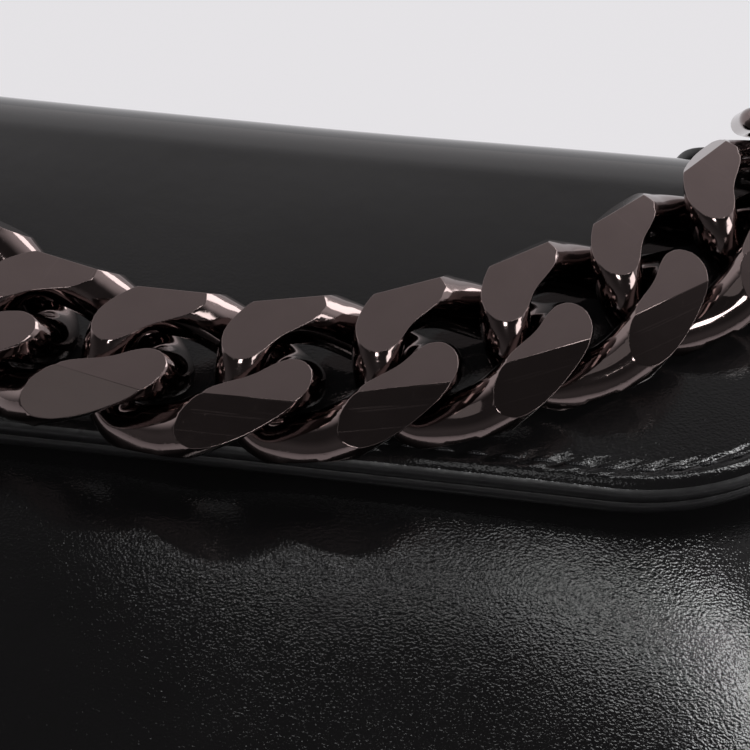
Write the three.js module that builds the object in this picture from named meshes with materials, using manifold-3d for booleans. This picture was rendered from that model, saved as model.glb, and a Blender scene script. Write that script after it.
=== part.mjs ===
// Black leather flap bag for a belt, lying on its back with a heavy curb chain across the flap.
// Millimetres. X is across the bag, +Y towards its top edge, +Z out of its front.
import * as THREE from 'three';
import { mergeVertices } from 'three/addons/utils/BufferGeometryUtils.js';
import Module from 'manifold-3d';

const wasm = await Module();
wasm.setup();

// Sheet goods and the clearance kept between neighbours
const GAP = 0.3;
const LEATHER = 1.6;
const STRAP_LEATHER = 1.2;
const LINING_CLOTH = 0.8;
const BOARD = 1.2;

// Bag body
const BODY_HALF_WIDTH = 79;
const BODY_BOTTOM_Y = -56;
const BACK_TOP_Y = 56;
const MOUTH_DROP = 6;
const BODY_CORNER = 28;
const BODY_DEPTH = 35;
const FRONT_SIDE_FALL = 3.5;
const FRONT_BOTTOM_FALL = 6;
const FRONT_FALL_START_Y = 6;
const GUSSET_BULGE = 1.8;
const POCKET_WIDTH = 79;
const POCKET_HEIGHT = 56;

// Belt loops on the back
const BELT_SLOT = 4.9;
const BELT_SLOT_LENGTH = 43;
const LOOP_WIDTH = 26;
const LOOP_RAMP = 6;
const LOOP_FOOT = 9;
const LOOP_X = 38;
const LOOP_Y = 6;

// Flap
const FLAP_HALF_WIDTH = 77;
const FLAP_CORNER = 32;
const FLAP_EDGE_Y = -1.4;
const FLAP_FOLD = 11.5;
const FLAP_FRONT_FALL = 1;

// Snap under the flap
const SNAP_DIAMETER = 14;
const SOCKET_HEIGHT = 2;
const SOCKET_BORE = 7.2;
const STUD_BASE = 1.2;
const STUD_POST = 1.2;
const STUD_POST_DIAMETER = 5.2;
const SNAP_WASHER = 0.5;
const SNAP_EDGE_MARGIN = 12;

// Curb chain
const LINK_COUNT = 11;
const LINK_PITCH = 15;
const LINK_WIRE = 5.7;
const LINK_HALF_LENGTH = 10.8;
const LINK_HALF_WIDTH = 7.2;
const LINK_TWIST = 4;
const LINK_THICKNESS = 8.2;
const LINK_SWELL = 1.1;
const LINK_SWELL_FROM = 4.5;
const LINK_DEEPEN = 1.9;
const LINK_CROSSING_FADE = 1.5;
const LINK_END_FADE = 4;
const LINK_WIDE_BEVEL = THREE.MathUtils.degToRad(29);
const LINK_WIDE_RIDGE = 5.8;
const LINK_NARROW_BEVEL = THREE.MathUtils.degToRad(48);
const LINK_NARROW_RIDGE = 8.1;
const SWAG_LOW_RADIUS = 59.5;
const SWAG_ABOVE_EDGE = 5.3;
const SWAG_CLEARANCE = 0.8;

// Chain anchors on the flap
const JUMP_RING_RADIUS = 7.2;
const JUMP_RING_WIRE = 2.4;
const JUMP_RING_CLEARANCE = 0.6;
const SQUARE_RING_WIRE = 3;
const SQUARE_RING_CORNER = 3.2;
const TAB_WIDTH = 12;
const TAB_START = 14.5;
const TAB_LEG = 13;
const TAB_THROAT = 10;
const TAB_LOOP_PLAY = 0.35;
const TAB_TILT = THREE.MathUtils.degToRad(3.5);
const PATCH_WIDTH = 24;
const PATCH_START = 6;
const PATCH_OVER_FOLD = 9;
const PATCH_CORNER = 6;
const PATCH_SIDE_MARGIN = 0.4;
const RIVET_HEIGHT = 6;
const RIVET_POST = 3.2;
const RIVET_HOLE = 3.8;
const RIVET_HEAD = 7;
const RIVET_CROWN = 4.9;
const RIVET_HEAD_HEIGHT = 1.1;

// Facets: steps along a bent piece and sides around a round one
const CORNER_STEPS = 7;
const FOLD_STEPS = 8;
const PANEL_STEPS = 8;
const GUSSET_STEPS = 44;
const RAMP_STEPS = 5;
const TAB_STEPS = 32;
const ROUND_SIDES = 28;
const WIRE_SIDES = 8;
const LINK_STEPS = 26;
const RING_STEPS = 28;

// Sizes worked out from the ones above
const BACK_Z = LEATHER + BELT_SLOT;
const FRONT_Z = BACK_Z + BODY_DEPTH;
const BACK_INNER_Z = BACK_Z + LEATHER;
const MOUTH_Y = BACK_TOP_Y - MOUTH_DROP;
const LINING_INSET = LEATHER + BOARD + 2 * GAP;
const LINING_BACK_Z = BACK_INNER_Z + BOARD + 2 * GAP;
const FLAP_THICKNESS = 2 * LEATHER + GAP;
const WALL_Y = BACK_TOP_Y + GAP;
const FLAP_STAND_OFF = SOCKET_HEIGHT + STUD_BASE + 4 * GAP + FLAP_FRONT_FALL;
const FLAP_UNDER_Z = FRONT_Z + FLAP_STAND_OFF;
const FOLD_Y = WALL_Y - FLAP_FOLD;
const FOLD_Z = FLAP_UNDER_Z - FLAP_FOLD;
const WALL_LENGTH = FOLD_Z - BACK_Z;
const FOLD_LENGTH = FLAP_FOLD * Math.PI / 2;
const FRONT_LENGTH = FOLD_Y - FLAP_EDGE_Y;
const FLAP_LENGTH = WALL_LENGTH + FOLD_LENGTH + FRONT_LENGTH;
const SNAP_Y = FLAP_EDGE_Y + SNAP_EDGE_MARGIN;
const CHAIN_Z = FLAP_UNDER_Z + FLAP_THICKNESS + SWAG_CLEARANCE + LINK_THICKNESS / 2;
const CHAIN_LOW_Y = FLAP_EDGE_Y + SWAG_ABOVE_EDGE;
const PATCH_OFFSET = FLAP_THICKNESS + GAP;
const TAB_OFFSET = PATCH_OFFSET + LEATHER + GAP;
const TAB_LOOP_RADIUS = SQUARE_RING_WIRE / 2 + TAB_LOOP_PLAY + STRAP_LEATHER / 2;

// Materials
const LOOKS = {
  leather: { color: 0x1b1a1b, roughness: 0.45, metalness: 0 },
  cloth: { color: 0x4a4446, roughness: 0.9, metalness: 0 },
  board: { color: 0x6f665c, roughness: 0.95, metalness: 0 },
  gunmetal: { color: 0x5a5150, roughness: 0.15, metalness: 1 },
};

const group = new THREE.Group();

function add(name, geometry, look) {
  const mesh = new THREE.Mesh(geometry, new THREE.MeshStandardMaterial(LOOKS[look]));
  mesh.name = name;
  group.add(mesh);
  return mesh;
}

function welded(geometry) {
  const bare = geometry.clone();
  bare.deleteAttribute('normal');
  bare.deleteAttribute('uv');
  return mergeVertices(bare, 1e-4);
}

function toSolid(geometry) {
  const closed = welded(geometry);
  return new wasm.Manifold(new wasm.Mesh({
    numProp: 3,
    vertProperties: new Float32Array(closed.attributes.position.array),
    triVerts: new Uint32Array(closed.index.array),
  }));
}

function fromSolid(solid) {
  const mesh = solid.getMesh();
  const geometry = new THREE.BufferGeometry();
  geometry.setAttribute('position', new THREE.Float32BufferAttribute(mesh.vertProperties, 3));
  geometry.setIndex(Array.from(mesh.triVerts));
  return geometry;
}

function cut(geometry, ...tools) {
  return fromSolid(tools.reduce((solid, tool) => solid.subtract(toSolid(tool)), toSolid(geometry)));
}

// A sheet of leather or cloth: a box whose corners are placed by a function of the position
// across it (-1 to 1), one value from the list of rows along it, and the depth through it (0 to 1)
function sheet(rows, columns, place) {
  const geometry = new THREE.BoxGeometry(2, 1, 1, columns, rows.length - 1, 1);
  const position = geometry.attributes.position;
  for (let i = 0; i < position.count; i += 1) {
    const row = rows[Math.round((position.getY(i) + 0.5) * (rows.length - 1))];
    const point = place(position.getX(i), row, position.getZ(i) + 0.5);
    position.setXYZ(i, point.x, point.y, point.z);
  }
  return welded(geometry);
}

function evenly(from, to, count) {
  return Array.from({ length: count + 1 }, (_, i) => THREE.MathUtils.lerp(from, to, i / count));
}

// Rows along a panel whose first end has two rounded corners, with the half width at each row
function roundedRows(halfWidth, corner, length, cornerSteps, straight) {
  const turns = evenly(0, Math.PI / 2, cornerSteps).map((turn) => ({
    along: corner * (1 - Math.cos(turn)),
    half: halfWidth - corner + corner * Math.sin(turn),
  }));
  const rest = straight.filter((along) => along > corner + GAP && along <= length);
  return [...turns, ...rest.map((along) => ({ along, half: halfWidth }))];
}

// Bag body
function frontHeight(x, y) {
  const side = Math.abs(x / BODY_HALF_WIDTH) ** 4;
  const span = FRONT_FALL_START_Y - BODY_BOTTOM_Y;
  const low = Math.max(0, (FRONT_FALL_START_Y - y) / span) ** 2;
  return FRONT_Z - FRONT_SIDE_FALL * side - FRONT_BOTTOM_FALL * low;
}

function bodyRows(inset, topY) {
  const length = topY - BODY_BOTTOM_Y - inset;
  const rest = evenly(0, length, PANEL_STEPS);
  return roundedRows(BODY_HALF_WIDTH - inset, BODY_CORNER - inset, length, CORNER_STEPS, rest)
    .map(({ along, half }) => ({ y: BODY_BOTTOM_Y + inset + along, half }));
}

function frontPanel() {
  return sheet(bodyRows(0, MOUTH_Y), PANEL_STEPS, (u, row, w) => {
    const x = u * row.half;
    return { x, y: row.y, z: frontHeight(x, row.y) - (1 - w) * LEATHER };
  });
}

function flatPanel(inset, topY, fromZ, thickness) {
  return sheet(bodyRows(inset, topY), 1, (u, row, w) => (
    { x: u * row.half, y: row.y, z: fromZ + w * thickness }));
}

// Side and bottom strip between the front and the back panel
function gusset() {
  const side = BODY_HALF_WIDTH - BODY_CORNER;
  const arcY = BODY_BOTTOM_Y + BODY_CORNER;
  const path = new THREE.CurvePath();
  path.add(new THREE.LineCurve(
    new THREE.Vector2(-BODY_HALF_WIDTH, MOUTH_Y), new THREE.Vector2(-BODY_HALF_WIDTH, arcY)));
  path.add(new THREE.EllipseCurve(
    -side, arcY, BODY_CORNER, BODY_CORNER, Math.PI, 1.5 * Math.PI));
  path.add(new THREE.LineCurve(
    new THREE.Vector2(-side, BODY_BOTTOM_Y), new THREE.Vector2(side, BODY_BOTTOM_Y)));
  path.add(new THREE.EllipseCurve(
    side, arcY, BODY_CORNER, BODY_CORNER, 1.5 * Math.PI, 2 * Math.PI));
  path.add(new THREE.LineCurve(
    new THREE.Vector2(BODY_HALF_WIDTH, arcY), new THREE.Vector2(BODY_HALF_WIDTH, MOUTH_Y)));
  const fromZ = BACK_INNER_Z + GAP;
  return sheet(evenly(0, 1, GUSSET_STEPS), 4, (u, row, w) => {
    const foot = path.getPointAt(row);
    const tangent = path.getTangentAt(row);
    const toZ = frontHeight(foot.x, foot.y) - LEATHER - GAP;
    const out = GUSSET_BULGE * (1 - u * u) - w * LEATHER;
    return {
      x: foot.x + out * tangent.y,
      y: foot.y - out * tangent.x,
      z: THREE.MathUtils.lerp(fromZ, toZ, (u + 1) / 2),
    };
  });
}

// A solid that fills the inside of the body, used for the lining and its hollow
function bodyFilling(inset, backZ, topY) {
  return sheet(bodyRows(inset, topY), PANEL_STEPS, (u, row, w) => {
    const x = u * row.half;
    return { x, y: row.y, z: THREE.MathUtils.lerp(backZ, frontHeight(x, row.y) - inset, w) };
  });
}

function lining() {
  const top = MOUTH_Y - GAP;
  const outer = bodyFilling(LINING_INSET, LINING_BACK_Z, top);
  const hollow = bodyFilling(
    LINING_INSET + LINING_CLOTH, LINING_BACK_Z + LINING_CLOTH, top + MOUTH_DROP);
  return cut(outer, hollow);
}

function slipPocket() {
  const pocket = new THREE.BoxGeometry(POCKET_WIDTH, POCKET_HEIGHT, LINING_CLOTH);
  const z = LINING_BACK_Z + LINING_CLOTH + GAP + LINING_CLOTH / 2;
  return pocket.translate(0, 0, z);
}

function bottomBoard() {
  const halfWidth = BODY_HALF_WIDTH - BODY_CORNER;
  const bottom = BODY_BOTTOM_Y + LEATHER + GAP;
  const depth = BODY_DEPTH - FRONT_BOTTOM_FALL - FRONT_SIDE_FALL - 3 * LEATHER;
  const board = new THREE.BoxGeometry(2 * halfWidth, BOARD, depth);
  return board.translate(0, bottom + BOARD / 2, BACK_INNER_Z + LEATHER + depth / 2);
}

// Belt loop: two feet on the back panel and a raised bridge that the belt passes under
function beltLoop(centreX) {
  const bridge = BELT_SLOT_LENGTH / 2;
  const reach = bridge + LOOP_RAMP + LOOP_FOOT;
  const ramp = evenly(bridge, bridge + LOOP_RAMP, RAMP_STEPS);
  const half = [...ramp, reach];
  const rows = [...half.map((y) => -y).reverse(), ...half];
  return sheet(rows, 1, (u, row, w) => {
    const rise = THREE.MathUtils.smoothstep(Math.abs(row), bridge, bridge + LOOP_RAMP);
    const z = rise * (BELT_SLOT - GAP) + w * LEATHER;
    return { x: centreX + u * LOOP_WIDTH / 2, y: LOOP_Y + row, z };
  });
}

// Flap: up the top wall from the back edge, round the fold and down the front
function flapPoint(s, offset) {
  if (s <= WALL_LENGTH) {
    return { y: WALL_Y + offset, z: BACK_Z + s };
  }
  const turn = (s - WALL_LENGTH) / FLAP_FOLD;
  if (turn < Math.PI / 2) {
    const radius = FLAP_FOLD + offset;
    return { y: FOLD_Y + radius * Math.cos(turn), z: FOLD_Z + radius * Math.sin(turn) };
  }
  const run = s - WALL_LENGTH - FOLD_LENGTH;
  const fall = FLAP_FRONT_FALL * (run / FRONT_LENGTH) ** 2;
  return { y: FOLD_Y - run, z: FLAP_UNDER_Z + offset - fall };
}

function flapLayer(offset) {
  const straight = [
    ...evenly(FLAP_CORNER, FRONT_LENGTH, 2),
    ...evenly(FRONT_LENGTH, FRONT_LENGTH + FOLD_LENGTH, FOLD_STEPS).slice(1),
    FLAP_LENGTH,
  ];
  const rows = roundedRows(
    FLAP_HALF_WIDTH, FLAP_CORNER, FLAP_LENGTH, CORNER_STEPS, straight);
  return sheet(rows, 4, (u, row, w) => (
    { x: u * row.half, ...flapPoint(FLAP_LENGTH - row.along, offset + w * LEATHER) }));
}

// Snap: a socket on the front panel and a stud under the flap, each with a washer behind it
function disc(diameter, fromZ, height) {
  const plug = new THREE.CylinderGeometry(diameter / 2, diameter / 2, height, ROUND_SIDES);
  return plug.rotateX(Math.PI / 2).translate(0, SNAP_Y, fromZ + height / 2);
}

const SNAP_PANEL_Z = frontHeight(0, SNAP_Y);
const SNAP_FLAP_Z = flapPoint(FLAP_LENGTH - SNAP_EDGE_MARGIN, 0).z;
const SOCKET_Z = SNAP_PANEL_Z + GAP;
const STUD_TOP_Z = SNAP_FLAP_Z - 2 * GAP;
const WASHER_POCKET = SNAP_WASHER + GAP;

function snapWasher(topZ) {
  return disc(SNAP_DIAMETER, topZ - SNAP_WASHER, SNAP_WASHER);
}

function snapSocket() {
  const bore = disc(SOCKET_BORE, SOCKET_Z + SOCKET_HEIGHT - STUD_POST - GAP, 2 * SOCKET_HEIGHT);
  return cut(disc(SNAP_DIAMETER, SOCKET_Z, SOCKET_HEIGHT), bore);
}

function snapStud() {
  const baseZ = STUD_TOP_Z - STUD_BASE;
  const base = toSolid(disc(SNAP_DIAMETER, baseZ, STUD_BASE));
  const post = toSolid(disc(STUD_POST_DIAMETER, baseZ - STUD_POST, STUD_POST + STUD_BASE / 2));
  return fromSolid(base.add(post));
}

// Chain: each link is a twisted oval of wire, ground flat on both faces, with a wide bevel on one
// shoulder of each face and a narrow one on the other
class LinkCurve extends THREE.Curve {
  getPoint(t, target = new THREE.Vector3()) {
    const turn = 2 * Math.PI * t;
    return target.set(
      LINK_HALF_LENGTH * Math.cos(turn),
      LINK_HALF_WIDTH * Math.sin(turn),
      -LINK_TWIST * Math.sin(2 * turn),
    );
  }
}

// Fills out the round wire: sideways on its flanks and towards the link's middle plane.
// The second fades out where the wire crosses that plane and at the link's ends.
function fillOut(wire, curve) {
  const points = wire.attributes.position;
  const reach = LINK_HALF_WIDTH + LINK_WIRE / 2 - LINK_SWELL_FROM;
  for (let i = 0; i < points.count; i += 1) {
    const ring = Math.floor(i / (WIRE_SIDES + 1)) % LINK_STEPS;
    const centre = curve.getPointAt(ring / LINK_STEPS);
    const y = points.getY(i);
    const z = points.getZ(i);
    const share = Math.max(0, Math.abs(y) - LINK_SWELL_FROM) / reach;
    points.setY(i, y + Math.sign(y) * LINK_SWELL * share ** 2);
    const rise = (z - centre.z) / (LINK_WIRE / 2);
    if (rise * centre.z < 0) {
      const twisted = (Math.abs(centre.z) / LINK_TWIST) ** LINK_CROSSING_FADE;
      const weight = twisted * (centre.y / LINK_HALF_WIDTH) ** LINK_END_FADE;
      points.setZ(i, z + LINK_DEEPEN * weight * rise);
    }
  }
}

function chainLink() {
  const curve = new LinkCurve();
  const wire = new THREE.TubeGeometry(curve, LINK_STEPS, LINK_WIRE / 2, WIRE_SIDES, true);
  fillOut(wire, curve);
  const length = 4 * LINK_HALF_LENGTH;
  const slab = new THREE.BoxGeometry(length, length, LINK_THICKNESS);
  let solid = toSolid(wire).intersect(toSolid(slab));
  for (const face of [-1, 1]) {
    const shoulders = [
      [-face, LINK_WIDE_RIDGE, LINK_WIDE_BEVEL],
      [face, LINK_NARROW_RIDGE, LINK_NARROW_BEVEL],
    ];
    for (const [side, ridge, bevel] of shoulders) {
      const cut = new THREE.BoxGeometry(length, length, length);
      cut.translate(0, 0, length / 2);
      cut.rotateX(-side * face * bevel + (face < 0 ? Math.PI : 0));
      cut.translate(0, side * ridge, face * LINK_THICKNESS / 2);
      solid = solid.subtract(toSolid(cut));
    }
  }
  return fromSolid(solid);
}

// Place and heading on the hanging line of the chain, at a length along it from its middle.
// The line is a catenary, whose radius at its lowest point sets how wide it hangs.
function swagFrame(length) {
  const steep = length / SWAG_LOW_RADIUS;
  const x = SWAG_LOW_RADIUS * Math.asinh(steep);
  const y = CHAIN_LOW_Y + SWAG_LOW_RADIUS * (Math.hypot(1, steep) - 1);
  return new THREE.Matrix4().makeTranslation(x, y, CHAIN_Z)
    .multiply(new THREE.Matrix4().makeRotationZ(Math.atan(steep)));
}

// Chain anchors: leather tab on a patch, a ring held in the tab and a jump ring to the last link
const LAST_LINK = (LINK_COUNT - 1) / 2;

function linkEnd(side) {
  const frame = swagFrame(side * LAST_LINK * LINK_PITCH);
  const point = new THREE.Vector3(side * LINK_HALF_LENGTH, 0, 0).applyMatrix4(frame);
  const wire = new THREE.Vector3(0, LINK_HALF_WIDTH, -2 * side * LINK_TWIST);
  return { point, wire: wire.transformDirection(frame) };
}

const TAB_X = linkEnd(1).point.x;

// Middle line of the folded tab, seen from the side: out along the wall and up
function tabPath() {
  const half = (STRAP_LEATHER + GAP) / 2;
  const spread = Math.asin((TAB_LOOP_RADIUS - half) / TAB_THROAT);
  const top = new THREE.Vector2(0, TAB_LEG + TAB_THROAT);
  const touch = new THREE.Vector2(
    TAB_LOOP_RADIUS * Math.cos(spread), top.y - TAB_LOOP_RADIUS * Math.sin(spread));
  const path = new THREE.CurvePath();
  path.add(new THREE.LineCurve(new THREE.Vector2(-half, 0), new THREE.Vector2(-half, TAB_LEG)));
  path.add(new THREE.LineCurve(
    new THREE.Vector2(-half, TAB_LEG), new THREE.Vector2(-touch.x, touch.y)));
  path.add(new THREE.EllipseCurve(
    0, top.y, TAB_LOOP_RADIUS, TAB_LOOP_RADIUS, Math.PI + spread, -spread, true));
  path.add(new THREE.LineCurve(touch, new THREE.Vector2(half, TAB_LEG)));
  path.add(new THREE.LineCurve(new THREE.Vector2(half, TAB_LEG), new THREE.Vector2(half, 0)));
  return path;
}

function fromTabPlane(point) {
  const turned = point.clone().rotateAround(new THREE.Vector2(), -TAB_TILT);
  const out = TAB_OFFSET + STRAP_LEATHER + GAP / 2;
  return { y: WALL_Y + out + turned.x, z: BACK_Z + TAB_START + turned.y };
}

function chainTab(side) {
  const path = tabPath();
  return sheet(evenly(0, 1, TAB_STEPS), 1, (u, row, w) => {
    const middle = path.getPointAt(row);
    const along = path.getTangentAt(row);
    const out = (w - 0.5) * STRAP_LEATHER;
    middle.add(new THREE.Vector2(-along.y, along.x).multiplyScalar(out));
    return { x: side * TAB_X + u * TAB_WIDTH / 2, ...fromTabPlane(middle) };
  });
}

function anchorPatch(side) {
  const end = WALL_LENGTH + PATCH_OVER_FOLD;
  const length = end - PATCH_START;
  const centre = side * (TAB_X + TAB_WIDTH / 2 + PATCH_SIDE_MARGIN - PATCH_WIDTH / 2);
  const straight = evenly(PATCH_CORNER, length, PANEL_STEPS);
  const rows = roundedRows(PATCH_WIDTH / 2, PATCH_CORNER, length, CORNER_STEPS, straight);
  return sheet(rows, 1, (u, row, w) => (
    { x: centre + u * row.half, ...flapPoint(end - row.along, PATCH_OFFSET + w * LEATHER) }));
}

const RIVET_Z = BACK_Z + TAB_START + RIVET_HEIGHT;
const RIVET_FROM_Y = WALL_Y - GAP;
const RIVET_TO_Y = WALL_Y + TAB_OFFSET + 2 * (STRAP_LEATHER + GAP)
  + (RIVET_HEIGHT + RIVET_HEAD / 2) * Math.sin(TAB_TILT);

function rivetHole(side) {
  const radius = RIVET_HOLE / 2;
  const hole = new THREE.CylinderGeometry(radius, radius, 4 * TAB_OFFSET, ROUND_SIDES);
  return hole.translate(side * TAB_X, WALL_Y, RIVET_Z);
}

function tabRivet(side) {
  const head = RIVET_HEAD / 2;
  const crown = RIVET_CROWN / 2;
  const post = RIVET_POST / 2;
  const outline = [
    [0, RIVET_FROM_Y - RIVET_HEAD_HEIGHT],
    [crown, RIVET_FROM_Y - RIVET_HEAD_HEIGHT],
    [head, RIVET_FROM_Y - RIVET_HEAD_HEIGHT / 2],
    [head, RIVET_FROM_Y],
    [post, RIVET_FROM_Y],
    [post, RIVET_TO_Y],
    [head, RIVET_TO_Y],
    [head, RIVET_TO_Y + RIVET_HEAD_HEIGHT / 2],
    [crown, RIVET_TO_Y + RIVET_HEAD_HEIGHT],
    [0, RIVET_TO_Y + RIVET_HEAD_HEIGHT],
  ];
  const points = outline.map(([radius, y]) => new THREE.Vector2(radius, y));
  return new THREE.LatheGeometry(points, ROUND_SIDES).translate(side * TAB_X, 0, RIVET_Z);
}

// Square ring with rounded corners; one bar lies on X and the ring reaches along Y
class BarRing extends THREE.Curve {
  constructor(halfBar, reach) {
    super();
    const corner = SQUARE_RING_CORNER;
    const quarter = Math.PI / 2;
    this.path = new THREE.Path();
    this.path.moveTo(-halfBar, 0);
    this.path.lineTo(halfBar, 0);
    this.path.absarc(halfBar, corner, corner, -quarter, 0);
    this.path.absarc(halfBar, reach - corner, corner, 0, quarter);
    this.path.absarc(-halfBar, reach - corner, corner, quarter, 2 * quarter);
    this.path.absarc(-halfBar, corner, corner, 2 * quarter, 3 * quarter);
  }

  getPoint(t, target = new THREE.Vector3()) {
    const flat = this.path.getPoint(t % 1);
    return target.set(flat.x, flat.y, 0);
  }
}

const TAB_LOOP = fromTabPlane(new THREE.Vector2(0, TAB_LEG + TAB_THROAT));
const RING_PLAY = JUMP_RING_RADIUS - JUMP_RING_WIRE / 2 - JUMP_RING_CLEARANCE;

// How far from the middle of a jump ring a wire that slants through it rests
function seatInRing(wire, radius, axis) {
  return RING_PLAY - radius / axis.dot(wire);
}

function anchorRings(side) {
  const end = linkEnd(side);
  const across = new THREE.Vector3(1, 0, 0);
  const back = new THREE.Vector3(0, 1, 0);

  // The jump ring reaches straight back, turned about Y so that the link's end passes well through it
  const wire = end.wire.clone().multiplyScalar(Math.sign(end.wire.x));
  const axis = wire.clone().projectOnPlane(back).normalize();
  const centre = end.point.clone().addScaledVector(back, seatInRing(wire, LINK_WIRE / 2, axis));
  const jumpFrame = new THREE.Matrix4()
    .makeBasis(back, axis.clone().cross(back), axis).setPosition(centre);
  const jumpRing = new THREE.TorusGeometry(
    JUMP_RING_RADIUS, JUMP_RING_WIRE / 2, WIRE_SIDES, RING_STEPS);

  // The square ring runs from the bar in the tab to a bar in the back of the jump ring
  const bar = new THREE.Vector3(side * TAB_X, TAB_LOOP.y, TAB_LOOP.z);
  const farBar = centre.clone().addScaledVector(back, seatInRing(across, SQUARE_RING_WIRE / 2, axis));
  const reach = farBar.clone().sub(bar);
  const up = reach.clone().normalize();
  const barFrame = new THREE.Matrix4()
    .makeBasis(across, up, across.clone().cross(up)).setPosition(bar);
  const squareRing = new THREE.TubeGeometry(
    new BarRing(TAB_WIDTH / 2 + GAP, reach.length()), RING_STEPS, SQUARE_RING_WIRE / 2, WIRE_SIDES, true);
  return { squareRing: squareRing.applyMatrix4(barFrame), jumpRing: jumpRing.applyMatrix4(jumpFrame) };
}

// Bag body pieces
add('back_panel', flatPanel(0, BACK_TOP_Y, BACK_Z, LEATHER), 'leather');
add('front_panel', frontPanel(), 'leather');
add('gusset', gusset(), 'leather');
add('lining', lining(), 'cloth');
add('slip_pocket', slipPocket(), 'cloth');
add('back_board', flatPanel(LINING_INSET, MOUTH_Y - GAP, BACK_INNER_Z + GAP, BOARD), 'board');
add('bottom_board', bottomBoard(), 'board');
add('belt_loop_left', beltLoop(-LOOP_X), 'leather');
add('belt_loop_right', beltLoop(LOOP_X), 'leather');
add('snap_socket', snapSocket(), 'gunmetal');
add('snap_socket_washer', snapWasher(SNAP_PANEL_Z - LEATHER - GAP), 'gunmetal');

// Flap pieces
const rivetHoles = [rivetHole(-1), rivetHole(1)];
const washerPocket = disc(
  SNAP_DIAMETER + 2 * GAP, SNAP_FLAP_Z + LEATHER - WASHER_POCKET, 2 * WASHER_POCKET);
add('flap_outer', cut(flapLayer(LEATHER + GAP), ...rivetHoles, washerPocket), 'leather');
add('flap_lining', cut(flapLayer(0), ...rivetHoles, washerPocket), 'leather');
add('snap_stud', snapStud(), 'gunmetal');
add('snap_stud_washer', snapWasher(SNAP_FLAP_Z + LEATHER), 'gunmetal');
for (const [side, name] of [[-1, 'left'], [1, 'right']]) {
  add(`anchor_patch_${name}`, cut(anchorPatch(side), rivetHole(side)), 'leather');
  add(`chain_tab_${name}`, cut(chainTab(side), rivetHole(side)), 'leather');
  add(`tab_rivet_${name}`, tabRivet(side), 'gunmetal');
}

// Chain pieces
const link = chainLink();
for (let i = 0; i < LINK_COUNT; i += 1) {
  const frame = swagFrame((i - LAST_LINK) * LINK_PITCH);
  add(`chain_link_${String(i + 1).padStart(2, '0')}`, link.clone().applyMatrix4(frame), 'gunmetal');
}
for (const [side, name] of [[-1, 'left'], [1, 'right']]) {
  const { squareRing, jumpRing } = anchorRings(side);
  add(`square_ring_${name}`, squareRing, 'gunmetal');
  add(`jump_ring_${name}`, jumpRing, 'gunmetal');
}

// The origin goes to the middle of the underside
const box = new THREE.Box3().setFromObject(group);
const middle = box.getCenter(new THREE.Vector3());
group.children.forEach((mesh) => mesh.geometry.translate(-middle.x, -middle.y, -box.min.z));

export default group;
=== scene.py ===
"""Looks of a black leather flap bag with a gunmetal curb chain across its flap.

Lengths are millimetres in the bag's own frame until a mesh is made, where they become metres.
"""

import bisect
import math

import bmesh
import bpy
from mathutils import Matrix, Vector


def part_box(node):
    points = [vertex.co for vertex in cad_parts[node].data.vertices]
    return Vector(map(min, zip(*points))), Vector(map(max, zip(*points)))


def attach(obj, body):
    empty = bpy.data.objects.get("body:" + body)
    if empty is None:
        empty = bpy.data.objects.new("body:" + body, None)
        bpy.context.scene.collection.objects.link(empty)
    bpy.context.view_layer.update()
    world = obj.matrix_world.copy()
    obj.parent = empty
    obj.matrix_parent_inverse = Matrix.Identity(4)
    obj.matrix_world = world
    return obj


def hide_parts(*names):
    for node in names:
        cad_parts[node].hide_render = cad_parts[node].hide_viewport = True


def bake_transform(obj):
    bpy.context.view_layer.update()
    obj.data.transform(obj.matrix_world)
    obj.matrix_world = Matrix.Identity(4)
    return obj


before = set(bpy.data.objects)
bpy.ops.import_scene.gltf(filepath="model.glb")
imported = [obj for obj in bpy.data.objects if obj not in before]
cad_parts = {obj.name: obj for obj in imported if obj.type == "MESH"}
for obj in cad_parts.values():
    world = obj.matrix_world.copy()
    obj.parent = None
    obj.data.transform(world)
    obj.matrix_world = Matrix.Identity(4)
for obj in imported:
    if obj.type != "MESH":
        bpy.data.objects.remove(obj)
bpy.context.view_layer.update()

MM = 0.001
UP = Vector((0, 0, 1))
ACROSS = Vector((1, 0, 0))
TO_TOP = Vector((0, 1, 0))

# Picture and camera. Azimuth runs from behind the bag towards +X
IMAGE_SIDE = 750
FOCAL_PIXELS = 1700
SENSOR = 36
CAMERA_TARGET = Vector((18.5, 2.3, 54.0))
CAMERA_AZIMUTH = math.radians(172.24)
CAMERA_ELEVATION = math.radians(50.76)
CAMERA_DISTANCE = 187.5

# Sheet goods
GAP = 0.3
LEATHER = 1.6
STRAP_LEATHER = 1.2
HINGE_LEATHER = 0.7
CLOTH = 0.8
LEATHER_EDGE = 0.6
CLOTH_EDGE = 0.3
RIM_SQUARENESS = 0.6

# Bag body
BODY_CORNER = 28
FRONT_SIDE_FALL = 3.5
FRONT_SIDE_SHARPNESS = 4
FRONT_BOTTOM_FALL = 6
FRONT_FALL_BELOW_TOP = 50
FRONT_CROWN = 2.2
FRONT_CROWN_RUN = 42
FRONT_CROWN_ABOVE_EDGE = 5
SNAP_FLAT = 11
SNAP_FLAT_SHARPNESS = 4
GUSSET_BULGE = 1.8
POCKET_SLACK = 1.2
HINGE_LEAF = 6.5
HINGE_SIDE_MARGIN = 7

# Belt loops
LOOP_RAMP = 6
LOOP_FOOT = 9

# Flap. Its side seams run down a share of the wall behind the fold
FLAP_CORNER = 32
FLAP_FOLD = 11.5
FLAP_FRONT_FALL = 1
FLAP_SAG = 0.65
FLAP_DROOP = 0.9
FLAP_DROOP_RUN = 2.5
FLAP_SEAM_ON_WALL = 0.5

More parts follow.
